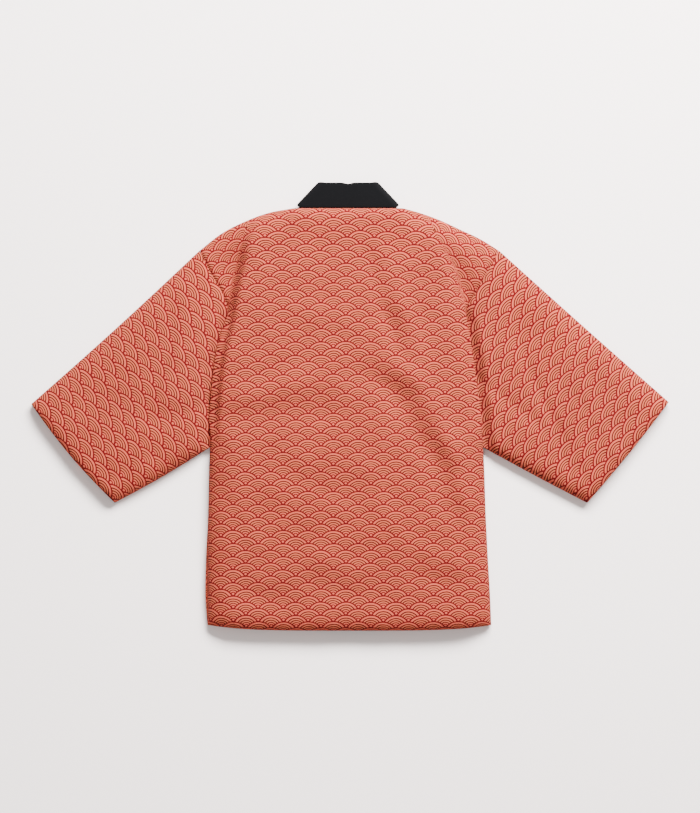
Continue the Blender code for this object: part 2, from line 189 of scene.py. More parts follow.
def wave_print_group():
    """Scallop print. For a point of the cloth, the front row whose ellipse holds it wins, and
    its distance from that ellipse's centre, as a share of the ellipse, picks the ring."""
    group, wire, given, out = new_group(
        "wave print",
        [("Vector", "NodeSocketVector", None), ("Pitch", "NodeSocketFloat", PITCH),
         ("Row Rise", "NodeSocketFloat", ROW_RISE), ("Half Width", "NodeSocketFloat", MOTIF_HALF_WIDTH),
         ("Height", "NodeSocketFloat", MOTIF_HEIGHT)],
        [("Color", "NodeSocketColor")],
    )
    across = wire.node("ShaderNodeSeparateXYZ", {0: given.outputs["Vector"]})
    u, v = across.outputs[0], across.outputs[1]
    pitch, rise, wide, tall = (
        given.outputs[label] for label in ("Pitch", "Row Rise", "Half Width", "Height")
    )
    spread = wire.math("DIVIDE", pitch, wide)
    half_pitch = wire.math("MULTIPLY", pitch, 0.5)
    front_row = wire.math("CEIL", wire.math("DIVIDE", wire.math("SUBTRACT", v, tall), rise))
    radius = None
    for behind in (2, 1, 0):
        row = wire.math("ADD", front_row, float(behind))
        up = wire.math("SUBTRACT", v, wire.math("MULTIPLY", row, rise))
        shift = wire.math("MULTIPLY", wire.math("FLOORED_MODULO", row, 2.0), half_pitch)
        along = wire.math("DIVIDE", wire.math("SUBTRACT", u, shift), pitch)
        aside = wire.math("MULTIPLY", wire.math("SUBTRACT", along, wire.math("ROUND", along)), spread)
        high = wire.math("DIVIDE", up, tall)
        here = wire.math(
            "SQRT",
            wire.math("ADD", wire.math("MULTIPLY", aside, aside), wire.math("MULTIPLY", high, high)),
        )
        if radius is None:
            radius = here
        else:
            holds = wire.math("LESS_THAN", here, 1.0)
            step = wire.math("MULTIPLY", wire.math("SUBTRACT", here, radius), holds)
            radius = wire.math("ADD", radius, step)
    stops = [(0.0, (*RING_TABLE[0][1], 1.0))]
    for (outer, colour), (_, after) in zip(RING_TABLE[:-1], RING_TABLE[1:]):
        stops.append((outer - INK_BLEED, (*colour, 1.0)))
        stops.append((outer + INK_BLEED, (*after, 1.0)))
    stops.append((1.0, (*RING_TABLE[-1][1], 1.0)))
    wire.feed(out.inputs["Color"], wire.ramp(radius, stops))
    return group


def cotton_group():
    """Plain weave. Warp and weft are two crossed waves, with slubs from a fine noise.
    It puts out a height, a shade near 1 and a slow unevenness near 1."""
    group, wire, given, out = new_group(
        "cotton weave",
        [("Vector", "NodeSocketVector", None), ("Thread", "NodeSocketFloat", THREAD)],
        [(label, "NodeSocketFloat") for label in ("Height", "Shade", "Unevenness")],
    )
    place = given.outputs["Vector"]
    apart = wire.node("ShaderNodeSeparateXYZ", {0: place})
    turn = wire.math("DIVIDE", 2.0 * np.pi, given.outputs["Thread"])
    warp = wire.math("SINE", wire.math("MULTIPLY", apart.outputs[0], turn))
    weft = wire.math("SINE", wire.math("MULTIPLY", apart.outputs[1], turn))
    slubs = wire.node("ShaderNodeTexNoise", {"Vector": place, "Scale": SLUB_SCALE, "Detail": 3.0})
    slow = wire.node("ShaderNodeTexNoise", {"Vector": place, "Scale": UNEVEN_SCALE, "Detail": 4.0})
    crossings = wire.math("MULTIPLY", warp, weft)
    height = wire.math("ADD", crossings, wire.math("MULTIPLY", slubs.outputs[0], SLUB_HEIGHT))
    shade = wire.math("ADD", wire.math("MULTIPLY", slubs.outputs[0], 0.22), 0.89)
    unevenness = wire.math("ADD", wire.math("MULTIPLY", slow.outputs[0], 0.26), 0.87)
    wire.feed(out.inputs["Height"], height)
    wire.feed(out.inputs["Shade"], shade)
    wire.feed(out.inputs["Unevenness"], unevenness)
    return group


wave_print = wave_print_group()
cotton_weave = cotton_group()


def cloth_material(name, printed, base=GROUND_RED, roughness=0.86, sheen=0.015):
    """Matt cotton, printed with the wave scallops or plain, with the weave as fine bump."""
    made = bpy.data.materials.new(name)
    made.use_nodes = True
    wire = Wiring(made.node_tree)
    shader = made.node_tree.nodes["Principled BSDF"]
    cloth = wire.node("ShaderNodeUVMap", uv_map="cloth").outputs[0]
    weave = wire.node("ShaderNodeGroup", {}, node_tree=cotton_weave)
    wire.feed(weave.inputs["Vector"], cloth)
    if printed:
        stray = wire.node("ShaderNodeTexNoise", {"Vector": cloth, "Scale": STRAY_SCALE, "Detail": 1.0})
        stray_from_middle = wire.node("ShaderNodeVectorMath", operation="SUBTRACT")
        wire.feed(stray_from_middle.inputs[0], stray.outputs["Color"])
        stray_from_middle.inputs[1].default_value = (0.5, 0.5, 0.5)
        small = wire.node("ShaderNodeVectorMath", operation="SCALE")
        wire.feed(small.inputs[0], stray_from_middle.outputs[0])
        small.inputs["Scale"].default_value = STRAY
        moved = wire.node("ShaderNodeVectorMath", operation="ADD")
        wire.feed(moved.inputs[0], cloth)
        wire.feed(moved.inputs[1], small.outputs[0])
        motif = wire.node("ShaderNodeGroup", {}, node_tree=wave_print)
        wire.feed(motif.inputs["Vector"], moved.outputs[0])
        colour = motif.outputs["Color"]
    else:
        plain = wire.node("ShaderNodeRGB")
        plain.outputs[0].default_value = (*base, 1.0)
        colour = plain.outputs[0]
    tone = wire.math("MULTIPLY", weave.outputs["Shade"], weave.outputs["Unevenness"])
    shaded = wire.node("ShaderNodeHueSaturation", {"Color": colour, "Value": tone})
    wire.feed(shader.inputs["Base Color"], shaded.outputs[0])
    rough = wire.math("SUBTRACT", roughness + 0.06, wire.math("MULTIPLY", weave.outputs["Shade"], 0.06))
    wire.feed(shader.inputs["Roughness"], rough)
    bump = wire.node("ShaderNodeBump", {"Height": weave.outputs["Height"], "Strength": 0.35})
    bump.inputs["Distance"].default_value = WEAVE_DEPTH
    wire.feed(shader.inputs["Normal"], bump.outputs[0])
    shader.inputs["Sheen Weight"].default_value = sheen
    shader.inputs["Sheen Roughness"].default_value = 0.5
    shader.inputs["Specular IOR Level"].default_value = 0.04
    return made


wave_cotton = cloth_material("wave cotton", True)
wrong_side = cloth_material("plain red cotton", False, base=(0.085, 0.007, 0.0075))


# The back: one panel of printed cotton over wadding, from the hem to the shoulders. It lies
# on top. Its sides roll down to the side seams, it bulges over the sleeves along a crease
# from each shoulder, and below the collar it ends at a straight neck seam.
SEAM_GAP = 0.0003
HEM_Y = -0.394
HEM_CORNER_Y = -0.3845
ARMPIT_Y = -0.072
SHOULDER_TIP_Y = 0.2745
NECK_Y = 0.3485
NECK_MID_X = -0.0035
SEAM_LEVEL = 0.009
BACK_INSIDE_LEVEL = 0.0165
BACK_LEVEL = 0.036
SLEEVE_LEVEL = 0.028
SIDE_REACH = 0.056
SHOULDER_REACH = 0.042
NECK_REACH = 0.016
HEM_REACH = 0.026
SEAM_STRIP = 0.012
PUCKER = 0.0005
ROW_STEP = 0.0042
LEFT, RIGHT = -1, 1

BODY_EDGE = np.array([
    # y, left x, right x
    (-0.394, -0.2500, 0.2490),
    (-0.330, -0.2545, 0.2465),
    (-0.270, -0.2534, 0.2430),
    (-0.199, -0.2500, 0.2394),
    (-0.072, -0.2464, 0.2341),
    (0.012, -0.2410, 0.2250),
    (0.100, -0.2300, 0.2125),
    (0.150, -0.2175, 0.2050),
    (0.173, -0.2155, 0.2055),
    (0.200, -0.2250, 0.2205),
    (0.238, -0.2464, 0.2420),
    (0.2745, -0.2645, 0.2620),
])
CREASE = np.array([
    # y, left x, right x
    (-0.394, -0.2500, 0.2490),
    (-0.199, -0.2500, 0.2394),
    (-0.072, -0.2464, 0.2341),
    (0.100, -0.2300, 0.2125),
    (0.150, -0.2170, 0.2050),
    (0.173, -0.2138, 0.2030),
    (0.205, -0.2085, 0.1954),
    (0.244, -0.2000, 0.1840),
    (0.282, -0.1915, 0.1640),
    (0.303, -0.1855, 0.1500),
    (0.349, -0.1720, 0.1350),
])
SHOULDER_LINE = np.array([
    # x, y
    (-0.2645, 0.2745),
    (-0.2288, 0.3027),
    (-0.1848, 0.3256),
    (-0.1408, 0.3414),
    (-0.1003, 0.3485),
    (0.0933, 0.3485),
    (0.1144, 0.3432),
    (0.1566, 0.3285),
    (0.1936, 0.3115),
    (0.2306, 0.2939),
    (0.2620, 0.2745),
])
BACK_FOLDS = [
    # start x, start y, end x, end y, height, half width
    (0.028, 0.053, 0.072, 0.027, -0.0030, 0.020),
    (0.072, 0.027, 0.142, -0.088, -0.0040, 0.022),
    (0.142, -0.088, 0.166, -0.170, -0.0034, 0.020),
    (0.064, 0.084, 0.112, 0.050, 0.0022, 0.018),
    (0.112, 0.050, 0.176, -0.064, 0.0036, 0.022),
    (0.176, -0.064, 0.200, -0.155, 0.0030, 0.018),
    (0.060, 0.160, 0.090, 0.090, -0.0030, 0.014),
    (0.092, 0.172, 0.122, 0.104, 0.0024, 0.015),
    (0.030, 0.262, 0.064, 0.160, -0.0022, 0.015),
    (0.062, 0.270, 0.094, 0.172, 0.0016, 0.017),
    (-0.190, 0.020, -0.072, 0.048, 0.0030, 0.024),
    (-0.200, -0.020, -0.060, -0.012, -0.0030, 0.024),
    (-0.050, -0.268, 0.010, -0.282, 0.0024, 0.022),
    (-0.060, -0.318, 0.010, -0.330, -0.0024, 0.020),
    (0.130, -0.255, 0.180, -0.270, 0.0022, 0.018),
    (0.130, -0.300, 0.185, -0.315, -0.0022, 0.018),
    (-0.190, -0.325, -0.140, -0.340, -0.0022, 0.018),
    (-0.120, 0.180, -0.020, 0.150, 0.0014, 0.022),
    (-0.100, -0.120, -0.010, -0.160, -0.0014, 0.018),
    (0.030, -0.120, 0.080, -0.220, 0.0016, 0.020),
    (-0.210, -0.120, -0.170, -0.230, 0.0014, 0.016),
    (0.190, -0.190, 0.205, -0.290, -0.0014, 0.012),
]


def ease(t):
    """Smooth step from 0 to 1 as t goes from 0 to 1."""
    t = np.clip(t, 0.0, 1.0)
    return t * t * (3.0 - 2.0 * t)


def rise(distance, reach):
    """Quarter ellipse: 0 at an edge and 1 from reach inwards."""
    short = np.clip(1.0 - np.asarray(distance) / reach, 0.0, 1.0)
    return np.sqrt(1.0 - short * short)


def smooth(knots, values, at):
    """Cubic curve through the knots, with each slope the mean of its neighbours'."""
    slopes = np.gradient(values, knots)
    at = np.clip(at, knots[0], knots[-1])
    i = np.clip(np.searchsorted(knots, at, side="right") - 1, 0, len(knots) - 2)
    step = knots[i + 1] - knots[i]
    t = (at - knots[i]) / step
    return (
        (2 * t**3 - 3 * t**2 + 1) * values[i]
        + (t**3 - 2 * t**2 + t) * step * slopes[i]
        + (3 * t**2 - 2 * t**3) * values[i + 1]
        + (t**3 - t**2) * step * slopes[i + 1]
    )


def edge_x(side, y):
    """Side seam and armhole."""
    return smooth(BODY_EDGE[:, 0], BODY_EDGE[:, 1 if side < 0 else 2], y)


def crease_x(side, y):
    """Valley between the back and the sleeve, or the shoulder's outer part."""
    return smooth(CREASE[:, 0], CREASE[:, 1 if side < 0 else 2], y)


def shoulder_y(x):
    """Upper outline: a straight neck seam between two smooth shoulders."""
    left, right = SHOULDER_LINE[:5], SHOULDER_LINE[5:]
    return np.where(
        np.asarray(x) < NECK_MID_X,
        smooth(left[:, 0], left[:, 1], x),
        smooth(right[:, 0], right[:, 1], x),
    )


def hem_y(x):
    """The hem lies lowest in the middle and lifts towards both corners."""
    return HEM_Y + (HEM_CORNER_Y - HEM_Y) * np.abs(np.asarray(x) / 0.25) ** 4


def folds_height(folds, x, y):
    """Sum of the folds, each a soft bump along its line that fades out at both ends."""
    total = np.zeros_like(x)
    for x0, y0, x1, y1, height, half_width in folds:
        along = np.hypot(x1 - x0, y1 - y0)
        ux, uy = (x1 - x0) / along, (y1 - y0) / along
        run = (x - x0) * ux + (y - y0) * uy
        past = np.maximum(np.maximum(-run, run - along), 0.0)
        across = (y - y0) * ux - (x - x0) * uy
        total += height * np.exp(-((across / half_width) ** 2) - (past / (1.6 * half_width)) ** 2)
    return total


def wadding_lumps(x, y, size, seed):
    """Smooth unevenness from -1 to 1: seeded values on a square lattice, eased between."""
    count = 64
    values = np.random.default_rng(seed).uniform(-1.0, 1.0, (count, count))
    gx, gy = np.asarray(x) / size + count / 2, np.asarray(y) / size + count / 2
    i, j = np.floor(gx).astype(int), np.floor(gy).astype(int)
    fx, fy = ease(gx - i), ease(gy - j)
    i, j, i1, j1 = i % count, j % count, (i + 1) % count, (j + 1) % count
    low = values[i, j] + (values[i1, j] - values[i, j]) * fx
    high = values[i, j1] + (values[i1, j1] - values[i, j1]) * fx
    return low + (high - low) * fy


def seam_puckers(along, away, period, seed):
    """Small gathers beside a seam: a wave along it, uneven in length, that dies away from it."""
    drift = 2.4 * wadding_lumps(along, 0.0 * along + seed * 0.01, 0.05, seed)
    return np.sin(2.0 * np.pi * along / period + drift) * np.exp(-((away / 0.009) ** 2))


def row_stations():
    """Grid rows on the outer edge, close together where the hem, armpit and shoulder round."""
    near = np.array([0.0, 0.0012, 0.003, 0.006, 0.010, 0.015, 0.021, 0.028, 0.036])
    hem = HEM_CORNER_Y + np.array([0.0, 0.0006, 0.0015, 0.003, 0.005, 0.008, 0.012, 0.017, 0.023, 0.030])
    side = np.linspace(hem[-1], ARMPIT_Y, int((ARMPIT_Y - hem[-1]) / ROW_STEP))[1:-1]
    low, high = ARMPIT_Y + near, SHOULDER_TIP_Y - near[::-1]
    middle = np.linspace(low[-1], high[0], int((high[0] - low[-1]) / ROW_STEP))[1:-1]
    return np.concatenate([hem, side, low, middle, high])


ROWS = row_stations()
ARMHOLE_ROWS = ROWS[ROWS >= ARMPIT_Y - 1e-9][::-1]


def shape_rows(x, x_top):
    """Row heights bent up to the shoulder line at the top and down to the hem at the bottom."""
    y = np.repeat(ROWS[:, None], x.shape[1], axis=1)
    lift = ease((ROWS - 0.02) / (SHOULDER_TIP_Y - 0.02))[:, None]
    sink = ease(1.0 - (ROWS - HEM_CORNER_Y) / 0.06)[:, None]
    y = y + lift * (shoulder_y(x_top)[None, :] - SHOULDER_TIP_Y)
    return y + sink * (hem_y(x) - HEM_CORNER_Y)


def inward_columns(side, shares, least):
    """Columns from the outer edge inwards, the last one past the crease on the shoulder."""
    edge = edge_x(side, ROWS)
    reach = np.maximum(least, np.abs(crease_x(side, ROWS) - edge) / 0.7)
    return edge[:, None] - side * reach[:, None] * np.asarray(shares)[None, :]


def edge_distance(x, y):
    """Distance in from the side seam, the armhole or the shoulder, whichever is nearest."""
    left = x - edge_x(LEFT, np.minimum(y, SHOULDER_TIP_Y))
    right = edge_x(RIGHT, np.minimum(y, SHOULDER_TIP_Y)) - x
    over = 0.87 * (shoulder_y(x) - y)
    return np.maximum(np.minimum(np.minimum(left, right), over), 0.0)


def crease_depth(side, y):
    """Height of the crease's floor: deep beside the left sleeve, softer beside the right."""
    floor_level = 0.0142 if side < 0 else 0.0170
    return 0.011 + (floor_level - 0.011) * ease((y + 0.09) / 0.05)


def side_drop(side, x, y):
    """How far the back falls towards one side, the crease and the shoulder's outer part."""
    inside = -side * (x - crease_x(side, y))
    low = crease_depth(side, y)
    shallow, begins, ends = (0.92, 0.245, 0.355) if side < 0 else (0.97, 0.195, 0.325)
    fade = 1.0 - shallow * ease((y - begins) / (ends - begins))
    reach = SIDE_REACH - (0.032 if side < 0 else 0.018) * ease((y + 0.02) / 0.12)
    sloped = (0.75 if side < 0 else 0.45) * ease((y + 0.08) / 0.08)
    rolled = (1.0 - sloped) * rise(inside, reach) + sloped * ease(inside / 0.019)
    within = fade * (BACK_LEVEL - low) * (1.0 - rolled)
    wing = 0.0215 if side < 0 else 0.0265
    beyond = fade * ((BACK_LEVEL - low) - (wing - low) * ease(-inside / 0.045))
    beyond = beyond + (1.0 - fade) * (BACK_LEVEL - wing) * ease(-inside / 0.06)
    return np.where(inside >= 0.0, within, beyond)


def pressed_together(x, y):
    """1 under the shoulder creases, where the back is pushed down onto the front, and 0 away."""
    total = np.zeros_like(x)
    for side in (LEFT, RIGHT):
        total += np.exp(-(((x - crease_x(side, y)) / 0.024) ** 2))
    return total * ease((y - 0.15) / 0.04) * (1.0 - ease((y - 0.305) / 0.04))


def back_inside(x, y):
    """Wrong side of the back: at the seam's level along the edges, and higher over the fronts."""
    climb = ease((edge_distance(x, y) - SEAM_STRIP) / 0.040)
    climb = climb * (1.0 - 0.87 * pressed_together(x, y))
    return SEAM_LEVEL + SEAM_GAP + (BACK_INSIDE_LEVEL - SEAM_LEVEL) * climb


def back_top(x, y):
    """The padded back: level in the middle, rolled down at every edge, creased and folded."""
    top = BACK_LEVEL - side_drop(LEFT, x, y) - side_drop(RIGHT, x, y)
    settled = ease(edge_distance(x, y) / 0.05)
    top = top + folds_height(BACK_FOLDS, x, y)
    lumps = 0.0011 * wadding_lumps(x, y, 0.047, 3) + 0.0005 * wadding_lumps(x, y, 0.019, 5)
    top = top + settled * lumps
    on_shoulder = ease((np.abs(x - NECK_MID_X) - 0.085) / 0.035)
    share = 0.52 - 0.40 * on_shoulder
    reach = NECK_REACH + (SHOULDER_REACH - NECK_REACH) * on_shoulder
    from_top = 0.9 * (shoulder_y(x) - y)
    top = SEAM_LEVEL + (top - SEAM_LEVEL) * (share + (1.0 - share) * rise(from_top, reach))
    top = top + PUCKER * seam_puckers(x, from_top, 0.013, 11) * (1.0 - on_shoulder)
    for side in (LEFT, RIGHT):
        from_seam = -side * (x - edge_x(side, np.minimum(y, SHOULDER_TIP_Y)))
        at_armhole = ease((y - 0.160) / 0.02)
        sewn_in = 0.0032 * np.exp(-((from_seam / 0.0035) ** 2))
        top = top - at_armhole * (sewn_in - PUCKER * seam_puckers(y, from_seam, 0.012, 13))
    from_hem = y - hem_y(x)
    inside = back_inside(x, y)
    top = inside + (top - inside) * (0.32 + 0.68 * rise(from_hem, HEM_REACH))
    return top + PUCKER * seam_puckers(x, from_hem - 0.010, 0.017, 17)


def cell_faces(n):
    """Four-sided faces of a grid of point numbers, facing up where columns run to +X."""
    return np.stack([n[:-1, :-1], n[:-1, 1:], n[1:, 1:], n[1:, :-1]], axis=-1).reshape(-1, 4)


def lay_cloth_map(mesh, cloth_map):
    """Give each corner of a face its point's place on the cloth, in metres."""
    corner = np.empty(len(mesh.loops), np.int32)
    mesh.loops.foreach_get("vertex_index", corner)
    layer = mesh.uv_layers.new(name="cloth")
    layer.data.foreach_set("uv", cloth_map[corner].astype(np.float32).ravel())


def cloth_object(name, points, faces, inner_from, cloth_map, materials):
    """A piece from arrays of points and faces. Faces from inner_from on are the wrong side."""
    mesh = bpy.data.meshes.new(name)
    mesh.from_pydata(points.tolist(), [], faces.tolist())
    for made in materials:
        mesh.materials.append(made)
    lay_cloth_map(mesh, cloth_map)
    index = np.zeros(len(faces), np.int32)
    index[inner_from:] = len(materials) - 1
    mesh.polygons.foreach_set("material_index", index)
    mesh.shade_smooth()
    mesh.set_sharp_from_angle(angle=np.radians(60))
    piece = bpy.data.objects.new(name, mesh)
    bpy.context.scene.collection.objects.link(piece)
    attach(piece, "root")
    return piece


def padded_wall(name, x, y, under, over, cloth_map, x_over=None, printed_below=False):
    """A closed padded panel: an upper and a lower grid joined round their rims. The upper grid
    is printed, or the lower one on a panel that lies face down."""
    rows, columns = x.shape
    upper = np.stack([x if x_over is None else x_over, y, over], axis=-1).reshape(-1, 3)
    lower = np.stack([x, y, under], axis=-1).reshape(-1, 3)
    count = rows * columns
    number = np.arange(count).reshape(rows, columns)
    rim = np.concatenate([number[0, :-1], number[:-1, -1], number[-1, :0:-1], number[:0:-1, 0]])
    after = np.roll(rim, -1)
    strip = np.stack([rim, count + rim, count + after, after], axis=-1)
    above, below = cell_faces(number), cell_faces(count + number)[:, ::-1]
    printed, plain = (below, above) if printed_below else (above, below)
    return cloth_object(
        name,
        np.concatenate([upper, lower]),
        np.concatenate([printed, strip, plain]),
        len(printed) + len(strip),
        np.concatenate([cloth_map.reshape(-1, 2)] * 2),
        [wave_cotton, wrong_side],
    )


def lengths_from_middle(step, middle, axis):
    """Running sum of the steps along one axis, counted both ways from the middle line."""
    total = np.cumsum(step, axis=axis)
    total = np.concatenate([np.zeros_like(np.take(total, [0], axis=axis)), total], axis=axis)
    return total - np.take(total, [middle], axis=axis)


def laid_map(x, y, z, middle_row, middle_column):
    """Cloth coordinates in metres: the way over the surface along the rows and columns."""
    dz_across, dz_up = np.diff(z, axis=1), np.diff(z, axis=0)
    u = lengths_from_middle(np.hypot(np.diff(x, axis=1), dz_across), middle_column, 1)
    v = lengths_from_middle(np.hypot(np.diff(y, axis=0), dz_up), middle_row, 0)
    return np.stack([u + x[:, middle_column][:, None], v + y[middle_row][None, :]], axis=-1)


EDGE_SHARES = np.array([
    0.0, 0.006, 0.015, 0.03, 0.05, 0.075, 0.105, 0.14, 0.18, 0.23, 0.29, 0.36, 0.43, 0.50, 0.56,
    0.61, 0.645, 0.67, 0.688, 0.70, 0.712, 0.73, 0.755, 0.79, 0.83, 0.88, 0.94, 1.0,
])
left = inward_columns(LEFT, EDGE_SHARES, SIDE_REACH)
right = inward_columns(RIGHT, EDGE_SHARES, SIDE_REACH)[:, ::-1]
across = np.linspace(0.0, 1.0, 96)[1:-1]
middle = left[:, -1:] + (right[:, :1] - left[:, -1:]) * across[None, :]
back_x = np.concatenate([left, middle, right], axis=1)
back_y = shape_rows(back_x, back_x[-1])
back_z = back_top(back_x, back_y)

# The bulge over the sleeve leans past the armhole line, most beside the left sleeve
LEAN_LEFT, LEAN_RIGHT = 0.0075, 0.0050
lean = np.exp(-(((EDGE_SHARES - 0.06) / 0.045) ** 2))
along_crease = ease((ROWS + 0.075) / 0.06) * ease((0.178 - ROWS) / 0.05)
leaned_x = back_x.copy()
edge_columns = len(EDGE_SHARES)
leaned_x[:, :edge_columns] -= LEAN_LEFT * along_crease[:, None] * lean[None, :]
leaned_x[:, -edge_columns:] += LEAN_RIGHT * along_crease[:, None] * lean[None, ::-1]

back_map = laid_map(back_x, back_y, back_z, len(ROWS) // 2, back_x.shape[1] // 2)
back_map = back_map + PRINT_START
back_map[..., 0] *= 1.0 - 0.09 * ease((back_y - 0.20) / 0.12)

# On the shoulder's outer part the cloth is turned outwards about the crease's upper end
TURN = np.radians(27.0)
SQUEEZE = 0.83
PIVOT_Y = 0.303
for side in (LEFT, RIGHT):
    pivot_at = np.array([crease_x(side, PIVOT_Y), PIVOT_Y])
    nearest = np.argmin(np.hypot(back_x - pivot_at[0], back_y - pivot_at[1]))
    pivot = back_map.reshape(-1, 2)[nearest]
    away = back_map - pivot
    flat = np.stack([back_x, back_y], axis=-1) - pivot_at
    flat[..., 0] /= SQUEEZE
    turned = np.stack([
        flat[..., 0] * np.cos(TURN) - side * flat[..., 1] * np.sin(TURN),
        side * flat[..., 0] * np.sin(TURN) + flat[..., 1] * np.cos(TURN),
    ], axis=-1)
    beyond = ease(side * (back_x - crease_x(side, back_y)) / 0.0006)[..., None]
    back_map = back_map + beyond * (turned - away)

back = padded_wall(
    "back_panel", back_x, back_y, back_inside(back_x, back_y), back_z, back_map, x_over=leaned_x
)
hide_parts("back")


# The fronts: two panels of the same printed cotton and wadding, right side down on the
# floor. Each is sewn to the back along the side seam and the shoulder, and to the collar
# along its straight front edge.
FRONT_LEVEL = 0.013
UNDER_REACH = 0.012
UNDER_LIFT = 0.0055
COLLAR_WIDTH = 0.0455
COLLAR_THICKNESS = 0.009
NECK_HALF_WIDTH = 0.0968
FOLD_ANGLE = np.radians(46.8)
FOLD_RADIUS = 0.0055
FOLD_DIRECTION = np.array([np.cos(FOLD_ANGLE), np.sin(FOLD_ANGLE)])
FOLD_OUTWARD = np.array([-np.sin(FOLD_ANGLE), np.cos(FOLD_ANGLE)])
FOLD_START = NECK_HALF_WIDTH - (FOLD_RADIUS + COLLAR_THICKNESS / 2) / np.sin(FOLD_ANGLE)
FOLD_CENTRE_Z = COLLAR_THICKNESS / 2 + FOLD_RADIUS
FOLD_LENGTH = np.pi * FOLD_RADIUS


def front_edge_x(side, y):
    """Seam line between a front and the collar's front stretch."""
    slant = 2.0 * FOLD_ANGLE - np.pi / 2.0
    leave = -FOLD_LENGTH / np.tan(FOLD_ANGLE) * FOLD_DIRECTION
    out = FOLD_START - leave[0] - (NECK_Y + leave[1] - y) * np.tan(slant)
    return NECK_MID_X + side * (out + SEAM_GAP)


def front_top(x, y):
    """Wrong side of a front, uppermost: thin at its seams and pressed down under the creases."""
    climb = ease((edge_distance(x, y) - SEAM_STRIP) / 0.060)
    climb = climb * (1.0 - 1.05 * pressed_together(x, y))
    turned_in = 0.003 * (1.0 - rise(y - hem_y(x), 0.008))
    return SEAM_LEVEL + (FRONT_LEVEL - SEAM_LEVEL) * climb - turned_in


def front_under(x, y):
    """Right side of a front: flat on the floor, and turned up in a quarter ellipse at its edges."""
    from_edge = np.minimum(edge_distance(x, y), y - hem_y(x))
    return UNDER_LIFT * (1.0 - rise(from_edge, UNDER_REACH))


def front_panel(name, node, side):
    """A front over the back's rows, from the side seam to the collar's seam, face down."""
    shares = np.array([0.0, 0.01, 0.03, 0.06, 0.10, 0.15, 0.21, 0.30, 0.42, 0.56, 0.70, 0.85, 1.0])
    outer = inward_columns(side, shares, SIDE_REACH)
    neck = NECK_Y - shoulder_y(-0.19)
    lift = ease((ROWS - 0.02) / (SHOULDER_TIP_Y - 0.02)) * neck
    opening = front_edge_x(side, shape_rows(outer, outer[-1])[:, -1] + lift)
    share = np.linspace(0.0, 1.0, 24)[1:]
    inner = outer[:, -1:] + (opening[:, None] - outer[:, -1:]) * share[None, :]
    x = np.concatenate([outer, inner], axis=1)
    y = shape_rows(x, x[-1])
    x[:, -1] = front_edge_x(side, y[:, -1])
    if side > 0:
        x, y = x[:, ::-1], y[:, ::-1]
    under = front_under(x, y)
    rows, columns = x.shape
    cloth_map = laid_map(x, y, under, rows // 2, columns // 2)
    piece = padded_wall(name, x, y, under, front_top(x, y), cloth_map, printed_below=True)
    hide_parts(node)


front_panel("left_front", "front_left", LEFT)
front_panel("right_front", "front_right", RIGHT)


# The sleeves: each is one piece of the printed cotton and wadding, folded along its upper
# edge, sewn along the underarm and open at the cuff. The print runs along the arm, and the
# sleeve comes out from under the back's bulge.
SLEEVE_REACH = 0.036
CUFF_REACH = 0.016
SLEEVE_EDGE_LEVEL = 0.011
SLIT_LEVEL = 0.013
SLIT = 0.002
SLEEVE_CUT = [
    # name, node, side, tip, lower cuff corner, bow of the long edges, bow of the cuff
    ("left_sleeve", "sleeve_left", LEFT, (-0.5610, 0.0045), (-0.4139, -0.1695), 0.003, 0.006),
    ("right_sleeve", "sleeve_right", RIGHT, (0.5610, 0.0080), (0.4171, -0.1695), 0.001, 0.0025),
]
PRINT_ANGLE = np.radians(34.0)
PRINT_SPREAD = 1.13
SLEEVE_FOLDS = {
    LEFT: [
        # start along, start across, end along, end across, height, half width
        (0.10, 0.06, 0.19, 0.24, -0.0030, 0.014),
        (0.01, 0.26, 0.13, 0.17, -0.0030, 0.013),
        (0.20, 0.03, 0.30, 0.13, 0.0016, 0.016),
        (0.02, 0.16, 0.10, 0.10, 0.0018, 0.014),
    ],
    RIGHT: [
        (0.08, 0.05, 0.17, 0.20, -0.0026, 0.015),
        (0.01, 0.22, 0.12, 0.19, -0.0026, 0.013),
        (0.19, 0.05, 0.31, 0.16, 0.0016, 0.017),
        (0.16, 0.16, 0.23, 0.22, -0.0016, 0.012),
    ],
}


